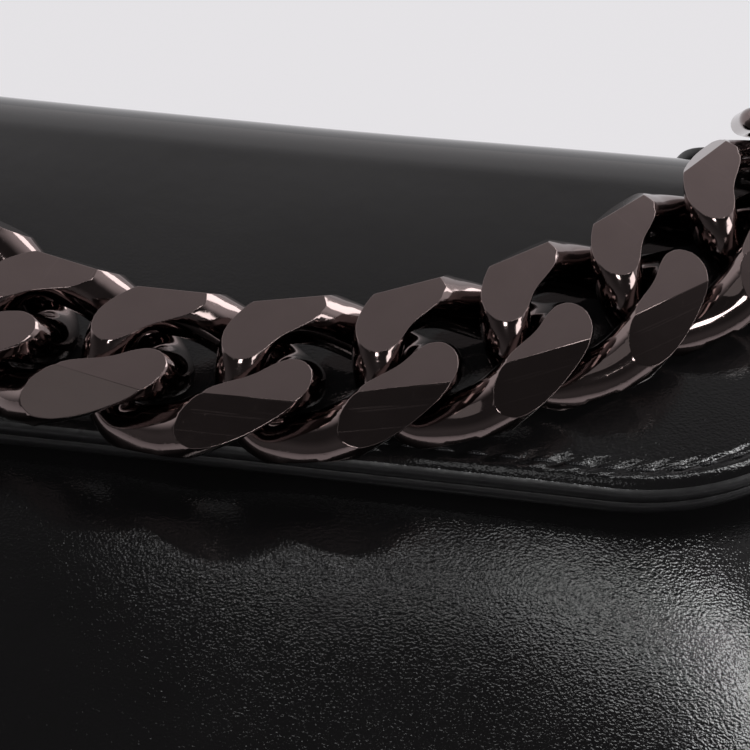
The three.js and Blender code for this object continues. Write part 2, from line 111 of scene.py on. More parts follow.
# Slight waves in the sheets: their height, and length per radian and phase across and along the bag
FLAP_WAVES = [
    dict(height=0.12, across=19, along=14, across_phase=1.3),
    dict(height=0.06, across=7.3, along=9, along_phase=math.pi / 2),
]
FRONT_WAVES = [
    dict(height=0.1, across=16, along=12, across_phase=0.4),
    dict(height=0.05, across=6, along=7, along_phase=1),
]
LINING_WAVES = [dict(height=0.25, across=9, along=11)]

# Stitching. STITCH_LIFT, STITCH_END_DROP and THREAD_TIP are shares of the thread's radius
STITCH_PITCH = 3.6
STITCH_LENGTH = 2.7
STITCH_LIFT = 1.3
STITCH_END_DROP = 0.9
STITCH_SUNK = 0.1
THREAD_RADIUS = 0.27
THREAD_TIP = 0.45
STITCH_MARGIN = 2.1
FLAP_STITCH_MARGIN = 2.9
PUCKER_DEPTH = 0.36
PUCKER_WIDTH = 0.55
PUCKER_REACH = 3 * PUCKER_WIDTH
PUCKER_BETWEEN = 0.12
PUCKER_SHARPNESS = 3

# Curb chain
LINK_COUNT = 11
LINK_PITCH = 15
LINK_WIRE = 5.7
LINK_HALF_LENGTH = 10.8
LINK_HALF_WIDTH = 7.2
LINK_TWIST = 4
LINK_THICKNESS = 8.2
LINK_SWELL = 1.1
LINK_SWELL_FROM = 4.5
LINK_DEEPEN = 1.9
LINK_CROSSING_FADE = 1.5
LINK_END_FADE = 4
LINK_WIDE_BEVEL = math.radians(29)
LINK_WIDE_RIDGE = 5.8
LINK_NARROW_BEVEL = math.radians(48)
LINK_NARROW_RIDGE = 8.1
LINK_EDGE = 0.28
LINK_SNAP = 0.12
SHARP_EDGE = math.radians(20)
SWAG_LOW_RADIUS = 59.5
SWAG_ABOVE_EDGE = 5.3
SWAG_CLEARANCE = 0.8

# Chain anchors
JUMP_RING_RADIUS = 7.2
JUMP_RING_WIRE = 2.4
JUMP_RING_CLEARANCE = 0.6
SQUARE_RING_WIRE = 3
SQUARE_RING_CORNER = 3.2
TAB_WIDTH = 12
TAB_START = 14.5
TAB_LEG = 13
TAB_THROAT = 10
TAB_LOOP_PLAY = 0.35
TAB_TILT = math.radians(3.5)
PATCH_WIDTH = 24
PATCH_START = 6
PATCH_OVER_FOLD = 9
PATCH_CORNER = 6
PATCH_SIDE_MARGIN = 0.4
RIVET_HEIGHT = 6
RIVET_POST = 3.2
RIVET_HEAD = 7
RIVET_HEAD_HEIGHT = 1.1

# Snap
SOCKET_BORE = 7.2
STUD_POST_DIAMETER = 5.2
STUD_POST = 1.2
SNAP_EDGE = 0.35

# Fineness of the meshes
LINE_SPACING = 0.5
RING_SPACING = 0.8
SEAM_CORNER_STEPS = 90
BEND_STEPS = 10
RIM_STEPS = 6
CORNER_ROWS = 24
FLAP_CORNER_ROWS = 34
FLAP_FRONT_ROWS = 16
FLAP_FOLD_ROWS = 28
FLAP_WALL_ROWS = 20
FLAP_COLUMNS = 420
FRONT_ROWS = 60
FRONT_COLUMNS = 120
PANEL_ROWS = 40
PANEL_COLUMNS = 60
BOARD_STEPS = 8
STRIP_ROWS = 220
STRAP_COLUMNS = 16
LOOP_ROWS = 80
HINGE_ROWS = 60
HINGE_COLUMNS = 40
TAB_ROWS = 110
TAB_LOOP_STEPS = 48
PATCH_ROWS = 60
PATCH_COLUMNS = 80
THREAD_SIDES = 7
THREAD_STEPS = 7
LINK_STEPS = 112
LINK_SIDES = 30
RING_STEPS = 96
RING_SIDES = 20
TURNED_SIDES = 64

# Colours
LEATHER_DARK = (0.007, 0.0067, 0.007, 1)
LEATHER_PALE = (0.009, 0.0086, 0.009, 1)
EDGE_BLACK = (0.008, 0.0076, 0.0082, 1)
THREAD_BLACK = (0.012, 0.0115, 0.013, 1)
CLOTH_DARK = (0.012, 0.011, 0.0115, 1)
CLOTH_PALE = (0.034, 0.031, 0.032, 1)
BOARD_DARK = (0.05, 0.046, 0.042, 1)
BOARD_PALE = (0.08, 0.074, 0.068, 1)
METAL_DARK = (0.178, 0.14, 0.135, 1)
METAL_PALE = (0.21, 0.166, 0.16, 1)

# Leather grain
GRAIN_DEPTH = 0.031
GRAIN_STRETCH = (1, 1.3, 1)
GRAIN_TURN = (0, 0, math.radians(-25))
PEBBLES_PER_METRE = 2850
FOLD_GRAIN = 0.1
FOLD_GRAIN_FROM = 0.8

# Stage, in metres. The floor's shares say how much of its own colour shows, over its shading
BACKGROUND = (0.82, 0.805, 0.828, 1)
FLOOR_REACH = 30
FLOOR_SHARE = 0.87
FRONT_FLOOR_SHARE = 0.3
FLOOR_FADE = 0.12
CAMERA_NEAR = 0.01
CAMERA_FAR = 100
LAMP_TARGET = Vector((0.02, 0, 0.05))
LAMP_DISTANCE = 0.8

# Room light: brightness at heights from 0, level, to 1, straight up, and where its front turns to its back
BACKDROP_LIGHT = [
    (0.0, 0.95), (0.5, 0.95), (0.62, 0.7), (0.71, 0.42), (0.8, 0.31), (0.88, 0.08), (1.0, 0.04)]
CAMERA_SIDE_LIGHT = [(0.0, 0.1), (0.25, 0.12), (0.5, 0.05), (1.0, 0.04)]
ROOM_TINT = (1, 0.965, 0.985)
ROOM_FRONT = -0.1
ROOM_BACK = 0.35


def box_mm(node):
    """Lowest and highest corner of a CAD node, in millimetres."""
    low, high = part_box(node)
    return low / MM, high / MM


# Sizes read from the frame, and worked out from them
back_low, back_high = box_mm("back_panel")
front_high = box_mm("front_panel")[1]
flap_low, flap_high = box_mm("flap_outer")
lining_low, lining_high = box_mm("lining")
BODY_HALF_WIDTH = back_high.x
BODY_BOTTOM = back_low.y
BODY_FLAT = BODY_HALF_WIDTH - BODY_CORNER
BODY_BEND = BODY_CORNER * math.pi / 2
BACK_TOP = back_high.y
BACK_Z = back_low.z
FRONT_Z = front_high.z
MOUTH_Y = front_high.y
LINING_INSET = BODY_HALF_WIDTH - lining_high.x
LINING_BACK_Z = lining_low.z
LINING_TOP = lining_high.y
SNAP_MIDDLE = sum(box_mm("snap_socket"), Vector()) / 2
FLAP_HALF_WIDTH = flap_high.x
FLAP_EDGE_Y = flap_low.y
FLAP_THICKNESS = 2 * LEATHER + GAP
FLAP_UNDER_Z = flap_high.z - FLAP_THICKNESS
WALL_Y = flap_high.y - FLAP_THICKNESS
FOLD_Y = WALL_Y - FLAP_FOLD
FOLD_Z = FLAP_UNDER_Z - FLAP_FOLD
WALL_LENGTH = FOLD_Z - BACK_Z
FOLD_LENGTH = FLAP_FOLD * math.pi / 2
FRONT_LENGTH = FOLD_Y - FLAP_EDGE_Y
FLAP_LENGTH = WALL_LENGTH + FOLD_LENGTH + FRONT_LENGTH
STITCH_DIP = PUCKER_BETWEEN * PUCKER_DEPTH
CHAIN_Z = FLAP_UNDER_Z + FLAP_THICKNESS + SWAG_CLEARANCE + LINK_THICKNESS / 2
CHAIN_LOW_Y = FLAP_EDGE_Y + SWAG_ABOVE_EDGE
LAST_LINK = (LINK_COUNT - 1) / 2
PATCH_OFFSET = FLAP_THICKNESS + GAP
TAB_OFFSET = PATCH_OFFSET + LEATHER + GAP
TAB_LOOP_RADIUS = SQUARE_RING_WIRE / 2 + TAB_LOOP_PLAY + STRAP_LEATHER / 2


# Materials
class Nodes:
    """Short names for building the node tree of one material, or of the world."""

    def __init__(self, owner):
        owner.use_nodes = True
        self.owner = owner
        self.tree = owner.node_tree
        self.shader = self.tree.nodes.get("Principled BSDF")

    def add(self, kind, inputs=None, **settings):
        node = self.tree.nodes.new(kind)
        for key, value in settings.items():
            setattr(node, key, value)
        for key, value in (inputs or {}).items():
            self.put(node.inputs[key], value)
        return node

    def put(self, socket, value):
        """Links an output to a socket, or sets the socket's own value."""
        if isinstance(value, bpy.types.NodeSocket):
            self.tree.links.new(value, socket)
        else:
            socket.default_value = value

    def set(self, **values):
        for key, value in values.items():
            self.put(self.shader.inputs[key.replace("_", " ")], value)

    def place(self, scale=(1, 1, 1), turn=(0, 0, 0)):
        """Position on the piece, in the frame's metres, scaled and turned."""
        where = self.add("ShaderNodeTexCoord").outputs["Object"]
        mapping = self.add("ShaderNodeMapping", {"Vector": where, "Scale": scale, "Rotation": turn})
        return mapping.outputs["Vector"]

    def parts(self, vector):
        return self.add("ShaderNodeSeparateXYZ", {"Vector": vector}).outputs

    def noise(self, place, scale, detail=2):
        node = self.add("ShaderNodeTexNoise", {"Vector": place, "Scale": scale, "Detail": detail})
        return node.outputs["Fac"]

    def wave(self, scale, distortion=0, direction="X"):
        node = self.add("ShaderNodeTexWave", {
            "Vector": self.place(), "Scale": scale, "Distortion": distortion}, bands_direction=direction)
        return node.outputs["Fac"]

    def math(self, operation, first, second):
        node = self.add("ShaderNodeMath", operation=operation)
        self.put(node.inputs[0], first)
        self.put(node.inputs[1], second)
        return node.outputs["Value"]

    def range(self, value, low, high, to_low=0, to_high=1, **settings):
        inputs = {"Value": value, "From Min": low, "From Max": high, "To Min": to_low, "To Max": to_high}
        node = self.add("ShaderNodeMapRange", inputs, **settings)
        return node.outputs["Result"]

    def spread(self, noise, low, high):
        """Maps the values that a noise mostly has to a wanted range."""
        return self.range(noise, 0.3, 0.7, low, high)

    def bump(self, height, depth, strength=1.0, normal=None):
        """A relief with its depth in millimetres, on top of another one if that is given."""
        node = self.add("ShaderNodeBump", {"Height": height, "Distance": depth * MM, "Strength": strength})
        if normal is not None:
            self.put(node.inputs["Normal"], normal)
        return node.outputs["Normal"]

    def blend_colour(self, factor, first, second):
        node = self.add("ShaderNodeMix", data_type="RGBA")
        for key, value in [("Factor", factor), ("A", first), ("B", second)]:
            self.put(node.inputs[key], value)
        return node.outputs["Result"]

    def ramp(self, value, stops):
        """A ramp in the room's tint: stops are (position, brightness) pairs."""
        node = self.add("ShaderNodeValToRGB", {"Fac": value})
        elements = node.color_ramp.elements
        while len(elements) < len(stops):
            elements.new(1.0)
        for element, (position, bright) in zip(elements, stops):
            element.position = position
            element.color = [bright * tint for tint in ROOM_TINT] + [1]
        return node.outputs["Color"]


def new_material(name):
    return Nodes(bpy.data.materials.new(name))


def leather_material(name, grain, rough_low, rough_high, stretched=False):
    """Black coated leather: smooth pebbles a few tenths of a millimetre wide under a glossy finish.

    Stretched leather loses its grain towards the fold.
    """
    n = new_material(name)
    place = n.place()
    if stretched:
        grain = n.range(n.parts(place)["Y"], FLAP_EDGE_Y * MM, FOLD_GRAIN_FROM * FOLD_Y * MM,
                        grain, FOLD_GRAIN * grain)
    pebbles = n.noise(n.place(GRAIN_STRETCH, GRAIN_TURN), PEBBLES_PER_METRE, detail=1)
    dents = n.bump(n.noise(place, scale=260), depth=0.12, strength=0.15)
    patches = n.noise(place, scale=120, detail=3)
    n.set(Base_Color=n.blend_colour(patches, LEATHER_DARK, LEATHER_PALE))
    n.set(Roughness=n.spread(patches, rough_low, rough_high))
    n.set(Normal=n.bump(pebbles, GRAIN_DEPTH, grain, dents))
    return n.owner


def edge_paint_material():
    """Black paint on the cut edges of the leather, with a slightly uneven brush finish."""
    n = new_material("edge_paint")
    uneven = n.noise(n.place(), scale=700, detail=3)
    n.set(Base_Color=EDGE_BLACK)
    n.set(Roughness=n.spread(uneven, low=0.34, high=0.5))
    n.set(Normal=n.bump(uneven, depth=0.12, strength=0.5))
    return n.owner


def thread_material():
    """Waxed black sewing thread with its twist."""
    n = new_material("thread")
    n.set(Base_Color=THREAD_BLACK)
    n.set(Roughness=n.spread(n.noise(n.place(), scale=2500), low=0.15, high=0.3))
    n.set(Normal=n.bump(n.wave(scale=900, distortion=2), depth=0.06, strength=0.6))
    return n.owner


def cloth_material():
    """Dark grey plain weave for the lining."""
    n = new_material("lining_cloth")
    weft, warp = [n.wave(scale=520, direction=direction) for direction in "XY"]
    weave = n.math("MULTIPLY", weft, warp)
    slubs = n.noise(n.place(scale=(1, 12, 1)), scale=160, detail=3)
    shade = n.math("MULTIPLY", n.math("ADD", weave, slubs), 0.5)
    n.set(Base_Color=n.blend_colour(shade, CLOTH_DARK, CLOTH_PALE))
    n.set(Roughness=n.range(slubs, low=0.2, high=0.8, to_low=0.75, to_high=0.95))
    n.set(Normal=n.bump(weave, depth=0.15, strength=0.7))
    n.set(Sheen_Weight=0.2)
    return n.owner


def board_material():
    """Grey stiffener sheet with a faint fibre."""
    n = new_material("stiffener_board")
    fibre = n.noise(n.place(scale=(1, 8, 1)), scale=300, detail=4)
    n.set(Base_Color=n.blend_colour(fibre, BOARD_DARK, BOARD_PALE))
    n.set(Roughness=n.spread(fibre, low=0.7, high=0.9))
    n.set(Normal=n.bump(fibre, depth=0.08, strength=0.5))
    return n.owner


def gunmetal_material():
    """Polished black nickel: warm dark mirror with faint waves, haze and a few hairline scratches."""
    n = new_material("gunmetal")

    def hairlines(stretch, turn, rarity, width=0.04):
        return n.range(n.noise(n.place(stretch, turn), scale=1, detail=1), rarity, rarity + width)

    scratches = n.math("MAXIMUM", hairlines((60, 2600, 2600), (0.3, 0.5, 0.7), rarity=0.7),
                       hairlines((2400, 50, 2400), (0.9, 0.2, 0.4), rarity=0.71))
    haze = n.noise(n.place(), scale=220, detail=3)
    wavy_face = n.bump(n.noise(n.place(), scale=420, detail=1), depth=0.02, strength=0.25)
    n.set(Metallic=1.0)
    n.set(Base_Color=n.blend_colour(haze, METAL_DARK, METAL_PALE))
    dulled = n.math("MULTIPLY", scratches, 0.06)
    n.set(Roughness=n.math("ADD", n.spread(haze, low=0.05, high=0.1), dulled))
    n.set(Normal=n.bump(scratches, depth=0.004, strength=0.5, normal=wavy_face))
    return n.owner


LEATHER_LOOK = leather_material("black_leather", grain=1.0, rough_low=0.07, rough_high=0.1)
FLAP_LOOK = leather_material("flap_leather", grain=1.0, rough_low=0.08, rough_high=0.12, stretched=True)
STRAP_LOOK = leather_material("strap_leather", grain=0.5, rough_low=0.34, rough_high=0.46)
EDGE_LOOK = edge_paint_material()
THREAD_LOOK = thread_material()
CLOTH_LOOK = cloth_material()
BOARD_LOOK = board_material()
METAL_LOOK = gunmetal_material()

# What sheets are cut from: the rim takes the last look
LEATHER_GOODS = dict(thickness=LEATHER, edge=LEATHER_EDGE, looks=[LEATHER_LOOK, EDGE_LOOK], slot="leather")
FLAP_GOODS = dict(LEATHER_GOODS, looks=[FLAP_LOOK, EDGE_LOOK])
STRAP_GOODS = dict(LEATHER_GOODS, looks=[STRAP_LOOK, EDGE_LOOK])
TAB_GOODS = dict(STRAP_GOODS, thickness=STRAP_LEATHER, edge=CLOTH_EDGE)
HINGE_GOODS = dict(STRAP_GOODS, thickness=HINGE_LEATHER, edge=CLOTH_EDGE)
CLOTH_GOODS = dict(thickness=CLOTH, edge=CLOTH_EDGE, looks=[CLOTH_LOOK], slot="cloth")
BOARD_GOODS = dict(edge=CLOTH_EDGE, looks=[BOARD_LOOK], slot="board")


# Lines and shares
def evenly(start, end, count):
    return [start + (end - start) * i / count for i in range(count + 1)]


def spaced(start, end, spacing=LINE_SPACING):
    """Even steps from start to end that are no longer than the spacing."""
    return evenly(start, end, max(1, math.ceil(abs(end - start) / spacing)))


def smooth(share):
    share = min(max(share, 0.0), 1.0)
    return share * share * (3 - 2 * share)


def wave(x, y, height, across, along, across_phase=0, along_phase=0):
    return height * math.sin(x / across + across_phase) * math.sin(y / along + along_phase)


def wavy(x, y, waves):
    """Height of the slight waves in a sheet."""
    return sum(wave(x, y, **shape) for shape in waves)


def walk(points):
    """A function of the length along a line, which gives a point's number and the share to the next one."""
    ends = [0.0]
    for a, b in zip(points, points[1:]):
        ends.append(ends[-1] + (b - a).length)

    def find(length):
        i = min(max(bisect.bisect_right(ends, length) - 1, 0), len(points) - 2)
        return i, (length - ends[i]) / max(ends[i + 1] - ends[i], 1e-9)
    return find, ends[-1]


def along_line(line):
    """A function that gives points at a height beside a flat line, on its left, and the line's length."""
    find, length = walk(line)

    def beside(along, height):
        i, share = find(along)
        heading = (line[i + 1] - line[i]).normalized()
        return line[i].lerp(line[i + 1], share) + Vector((-heading.y, heading.x)) * height
    return beside, length


def edge_distance(x, along, half_width, corner):
    """Distance inside the outline of a panel with two rounded corners at its first end."""
    over_x, over_y = abs(x) - (half_width - corner), corner - along
    if over_x > 0 and over_y > 0:
        return corner - math.hypot(over_x, over_y)
    return min(along, half_width - abs(x))


def edge_travel(x, along, half_width, corner):
    """Length along the outline from the middle of the first end to the nearest point."""
    over_x, over_y = abs(x) - (half_width - corner), corner - along
    if over_x > 0 and over_y > 0:
        return half_width - corner + corner * math.atan2(over_x, over_y)
    if along < half_width - abs(x):
        return abs(x)
    return half_width - corner + corner * math.pi / 2 + along - corner


def seam_outline(half_width, corner, margin, length):
    """Points of a seam inside the outline of such a panel, from one side round to the other."""
    bend, flat = corner - margin, half_width - corner
    right = [(x, margin) for x in spaced(0, flat)]
    for turn in evenly(0, math.pi / 2, SEAM_CORNER_STEPS)[1:]:
        right.append((flat + bend * math.sin(turn), corner - bend * math.cos(turn)))
    right += [(half_width - margin, along) for along in spaced(corner, length)[1:]]
    return [(-x, along) for x, along in reversed(right[1:])] + right


# Mesh helpers
def add_object(name, data):
    made = bpy.data.objects.new(name, data)
    bpy.context.scene.collection.objects.link(made)
    return made


def mesh_object(name, points, faces, looks, look_of_face=None):
    """A closed smooth mesh from points in millimetres, with its faces turned outwards."""
    mesh = bpy.data.meshes.new(name)
    mesh.from_pydata([Vector(point) * MM for point in points], [], faces)
    for look in looks:
        mesh.materials.append(look)
    if look_of_face:
        mesh.polygons.foreach_set("material_index", look_of_face)
    bm = bmesh.new()
    bm.from_mesh(mesh)
    bmesh.ops.recalc_face_normals(bm, faces=bm.faces)
    bm.to_mesh(mesh)
    bm.free()
    mesh.shade_smooth()
    return add_object(name, mesh)


def settle(piece, body, slot, *nodes):
    """Puts a piece on its body and hides the CAD nodes that it stands for; its material slot is not used."""
    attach(piece, body)
    if nodes:
        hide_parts(*nodes)


def rounded_rows(half_width, corner, corner_steps, straight):
    """A function of the inset: rows along a panel whose first end has two rounded corners.

    Each row is a distance along the panel and the half width there. The last row is the far end.
    """
    def rows_at(inset):
        bend = corner - inset
        rows = []
        for turn in evenly(0, math.pi / 2, corner_steps):
            half = half_width - corner + bend * math.sin(turn)
            rows.append((inset + bend * (1 - math.cos(turn)), half))
        rows += [(along, half_width - inset) for along in straight[:-1]]
        rows.append((straight[-1] - inset, half_width - inset))
        return rows
    return rows_at


def plain_rows(half_width, length, steps):
    """A function of the inset: rows along a square-ended strip."""
    def rows_at(inset):
        return [(along, half_width - inset) for along in evenly(inset, length - inset, steps)]
    return rows_at


def rim_steps(thickness, edge):
    """Inset and depth of the loops round a rim, from the top face to the underside."""
    for turn in evenly(0, math.pi, RIM_STEPS)[1:-1]:
        rise = math.copysign(abs(math.cos(turn)) ** RIM_SQUARENESS, math.cos(turn))
        yield edge * (1 - math.sin(turn) ** RIM_SQUARENESS), thickness * (1 + rise) / 2


def sheet(name, rows_at, columns, place, goods):
    """A sheet with a rounded rim. place(x, along, depth) puts a point of the flat pattern in space."""
    thickness, edge, looks = goods["thickness"], goods["edge"], goods["looks"]
    shares = evenly(-1, 1, columns)
    rows = rows_at(edge)
    count, width = len(rows), len(shares)
    points = []
    for depth in (thickness, 0):
        points += [place(u * half, along, depth) for along, half in rows for u in shares]
    border = [(0, j) for j in range(width)] + [(i, width - 1) for i in range(1, count)]
    border += [(count - 1, j) for j in range(width - 2, -1, -1)]
    border += [(i, 0) for i in range(count - 2, 0, -1)]
    loops = [[i * width + j for i, j in border]]
    for inset, depth in rim_steps(thickness, edge):
        rim_rows = rows_at(inset)
        loops.append(range(len(points), len(points) + len(border)))
        points += [place(shares[j] * rim_rows[i][1], rim_rows[i][0], depth) for i, j in border]
    loops.append([count * width + i * width + j for i, j in border])

    faces = []
    for start in (0, count * width):
        for i in range(count - 1):
            for j in range(width - 1):
                a = start + i * width + j
                faces.append((a, a + 1, a + width + 1, a + width))
    flat_faces = len(faces)
    for outer, inner in zip(loops, loops[1:]):
        for k in range(len(border)):
            m = (k + 1) % len(border)
            faces.append((outer[k], outer[m], inner[m], inner[k]))
    look_of_face = [0] * flat_faces + [len(looks) - 1] * (len(faces) - flat_faces)
    return mesh_object(name, points, faces, looks, look_of_face)


def lay(name, rows_at, columns, place, goods, body, node):
    """A sheet on its body, in place of its CAD node."""
    settle(sheet(name, rows_at, columns, place, goods), body, goods["slot"], node)


def circle(sides):
    """Cosine and sine at even steps round a circle."""
    angles = evenly(0, 2 * math.pi, sides)[:-1]
    return [(math.cos(angle), math.sin(angle)) for angle in angles]


def ring_faces(count, sides, closed=False, shift=0):
    """Faces between rings of points. The last ring of a closed tube meets the first, turned by the shift."""
    faces = []
    for i in range(count if closed else count - 1):
        turn = shift if i == count - 1 else 0
        low, high = i * sides, ((i + 1) % count) * sides
        for k in range(sides):
            m = (k + 1) % sides
            faces.append((low + k, low + m, high + (m + turn) % sides, high + (k + turn) % sides))
    return faces


def tube(points, radius_at, sides, closed):
    """Points and faces of a round tube along a line of points."""
    count = len(points)
    made = []
    side = None
    for i, point in enumerate(points):
        before = points[i - 1] if closed or i else point
        after = points[(i + 1) % count] if closed or i < count - 1 else point
        tangent = (after - before).normalized()
        if side is None:
            side = tangent.orthogonal().normalized()
        side = (side - tangent * side.dot(tangent)).normalized()
        over = tangent.cross(side)
        made += [point + radius_at(i) * (cos * side + sin * over) for cos, sin in circle(sides)]
    if closed:
        gaps = [(made[k] - made[-sides]).length for k in range(sides)]
        return made, ring_faces(count, sides, closed, shift=gaps.index(min(gaps)))
    ends = [tuple(range(sides)), tuple(range((count - 1) * sides, count * sides))]
    return made, ring_faces(count, sides) + ends


def turn_metal(name, outline, place, body, node):
    """A turned metal piece: outline is (radius, height) pairs that start and end on the axis."""
    sides = TURNED_SIDES
    inner = outline[1:-1]
    points = [place(Vector((0, 0, outline[0][1]))), place(Vector((0, 0, outline[-1][1])))]
    for radius, height in inner:
        points += [place(Vector((radius * cos, radius * sin, height))) for cos, sin in circle(sides)]
    faces = [tuple(2 + v for v in face) for face in ring_faces(len(inner), sides)]
    for axis, start in [(0, 2), (1, len(points) - sides)]:
        faces += [(axis, start + k, start + (k + 1) % sides) for k in range(sides)]
    settle(mesh_object(name, points, faces, [METAL_LOOK]), body, "gunmetal", node)


def thread_radius(i):
    return THREAD_RADIUS * (THREAD_TIP + (1 - THREAD_TIP) * math.sin(math.pi * i / (THREAD_STEPS - 1)))


def sew(name, line, body):
    """A run of stitches with a needle hole in its middle: line is a list of (point, normal) pairs."""
    find, total = walk([point for point, _ in line])
    points, faces = [], []
    count = 2 * int(total / STITCH_PITCH / 2)
    for k in range(count):
        start = total / 2 + (k + 0.5 - count / 2) * STITCH_PITCH - STITCH_LENGTH / 2
        path = []
        for share in evenly(0, 1, THREAD_STEPS - 1):
            i, part = find(start + share * STITCH_LENGTH)
            (low, low_normal), (high, high_normal) = line[i], line[i + 1]
            rise = STITCH_LIFT * math.sin(math.pi * share) - STITCH_END_DROP
            lift = THREAD_RADIUS * rise - STITCH_SUNK
            path.append(low.lerp(high, part) + low_normal.lerp(high_normal, part) * lift)
        made, rings = tube(path, thread_radius, THREAD_SIDES, closed=False)
        faces += [tuple(len(points) + v for v in face) for face in rings]
        points += made
    settle(mesh_object(name, points, faces, [THREAD_LOOK]), body, "cloth")


# Flap
def flap_profile(s, offset):
    """Point and outward direction at a length along the flap from its sewn edge, in its middle plane."""
    if s <= WALL_LENGTH:
        return Vector((0, WALL_Y + offset, BACK_Z + s)), TO_TOP
    turn = (s - WALL_LENGTH) / FLAP_FOLD
    if turn < math.pi / 2:
        out = Vector((0, math.cos(turn), math.sin(turn)))
        return Vector((0, FOLD_Y, FOLD_Z)) + out * (FLAP_FOLD + offset), out
    run = s - WALL_LENGTH - FOLD_LENGTH
    fall = FLAP_FRONT_FALL * (run / FRONT_LENGTH) ** 2
    return Vector((0, FOLD_Y - run, FLAP_UNDER_Z + offset - fall)), UP


def flap_droop(x, along):
    """How far the free edge of the flap bends down, fading out towards the fold."""
    inside = edge_distance(x, along, FLAP_HALF_WIDTH, FLAP_CORNER)
    bend = max(0.0, 1 - inside / FLAP_DROOP_RUN) ** 2
    return FLAP_DROOP * bend * (1 - smooth(2 * along / FRONT_LENGTH - 1))


def flap_softness(x, s):
    """How far the leather stands out of its drawn shape: the fold sags, the front is not quite flat."""
    across = math.cos(0.5 * math.pi * x / FLAP_HALF_WIDTH) ** 2
    over_fold = math.exp(-((s - WALL_LENGTH - 0.5 * FOLD_LENGTH) / FOLD_LENGTH) ** 2)
    return wavy(x, s, FLAP_WAVES) - FLAP_SAG * across * over_fold - flap_droop(x, FLAP_LENGTH - s)


def on_flap(x, s, offset):
    """Point at an offset from the flap's underside, softened, and the outward direction there."""
    point, normal = flap_profile(s, offset)
    return point + ACROSS * x + normal * flap_softness(x, s), normal


def pucker(x, along, half_width, corner, margin):
    """Dip of the leather along a line of stitches, deepest at the needle holes."""
    off = edge_distance(x, along, half_width, corner) - margin
    if abs(off) > PUCKER_REACH:
        return 0.0
    travel = edge_travel(x, along, half_width, corner - margin)
    holes = (0.5 + 0.5 * math.cos(2 * math.pi * travel / STITCH_PITCH)) ** PUCKER_SHARPNESS
    share = PUCKER_BETWEEN + (1 - PUCKER_BETWEEN) * holes
    return -PUCKER_DEPTH * math.exp(-((off / PUCKER_WIDTH) ** 2)) * share


def flap_place(layer, stitched_depth):
    """Puts the pattern of a flap layer in space. Its face at the stitched depth is puckered."""
    def place(x, along, depth):
        point, normal = on_flap(x, FLAP_LENGTH - along, layer + depth)
        if depth == stitched_depth:
            dip = pucker(x, along, FLAP_HALF_WIDTH, FLAP_CORNER, FLAP_STITCH_MARGIN)
            point += normal * (dip if stitched_depth else -dip)
        return point
    return place


def build_flap():
    front = evenly(FLAP_CORNER, FRONT_LENGTH, FLAP_FRONT_ROWS)[1:]
    fold = evenly(FRONT_LENGTH, FRONT_LENGTH + FOLD_LENGTH, FLAP_FOLD_ROWS)[1:]
    wall = evenly(FRONT_LENGTH + FOLD_LENGTH, FLAP_LENGTH, FLAP_WALL_ROWS)[1:]
    rows = rounded_rows(FLAP_HALF_WIDTH, FLAP_CORNER, FLAP_CORNER_ROWS, front + fold + wall)
    outer, inner = flap_place(LEATHER + GAP, LEATHER), flap_place(0, 0)
    lay("flap_leather", rows, FLAP_COLUMNS, outer, FLAP_GOODS, "flap", "flap_outer")
    lay("flap_facing", rows, FLAP_COLUMNS, inner, LEATHER_GOODS, "flap", "flap_lining")

    side_run = FLAP_LENGTH - FLAP_SEAM_ON_WALL * WALL_LENGTH
    outline = seam_outline(FLAP_HALF_WIDTH, FLAP_CORNER, FLAP_STITCH_MARGIN, side_run)
    seam = [on_flap(x, FLAP_LENGTH - along, FLAP_THICKNESS - STITCH_DIP) for x, along in outline]
    sew("flap_stitches", seam, "flap")
    half = FLAP_HALF_WIDTH - STITCH_MARGIN
    root = [on_flap(x, STITCH_MARGIN, FLAP_THICKNESS) for x in spaced(-half, half)]
    sew("flap_root_stitches", root, "flap")


# Bag body
def front_height(x, y):
    side = abs(x / BODY_HALF_WIDTH) ** FRONT_SIDE_SHARPNESS
    start = BACK_TOP - FRONT_FALL_BELOW_TOP
    low = max(0.0, (start - y) / (start - BODY_BOTTOM)) ** 2
    return FRONT_Z - FRONT_SIDE_FALL * side - FRONT_BOTTOM_FALL * low


def front_crown(x, y):
    """How far the front leather stands out: fullest at the edge of the flap and flat round the snap."""
    off = (y - FLAP_EDGE_Y - FRONT_CROWN_ABOVE_EDGE) / FRONT_CROWN_RUN
    along = math.cos(0.5 * math.pi * min(abs(off), 1.0)) ** 2
    across = 1 - abs(x / BODY_HALF_WIDTH) ** FRONT_SIDE_SHARPNESS
    from_snap = math.hypot(x - SNAP_MIDDLE.x, y - SNAP_MIDDLE.y) / SNAP_FLAT
    return FRONT_CROWN * along * across * (1 - math.exp(-from_snap ** SNAP_FLAT_SHARPNESS))


def body_rows(inset, top, steps):
    corner = BODY_CORNER - inset
    length = top - BODY_BOTTOM - inset
    return rounded_rows(BODY_HALF_WIDTH - inset, corner, CORNER_ROWS, evenly(corner, length, steps)[1:])


def body_edge(length):
    """Point and outward direction on the body's outline, at a length from the middle of its bottom."""
    side = math.copysign(1, length)
    run = abs(length) - BODY_FLAT
    turn = min(max(run / BODY_CORNER, 0.0), math.pi / 2)
    x = min(abs(length), BODY_FLAT) + BODY_CORNER * math.sin(turn)
    y = BODY_BOTTOM + BODY_CORNER * (1 - math.cos(turn)) + max(0.0, run - BODY_BEND)
    return Vector((side * x, y, 0)), Vector((side * math.sin(turn), -math.cos(turn), 0))


def body_edge_reach(top):
    """Length along the body's outline from the middle of its bottom to a height on its side."""
    return BODY_FLAT + BODY_BEND + top - BODY_BOTTOM - BODY_CORNER


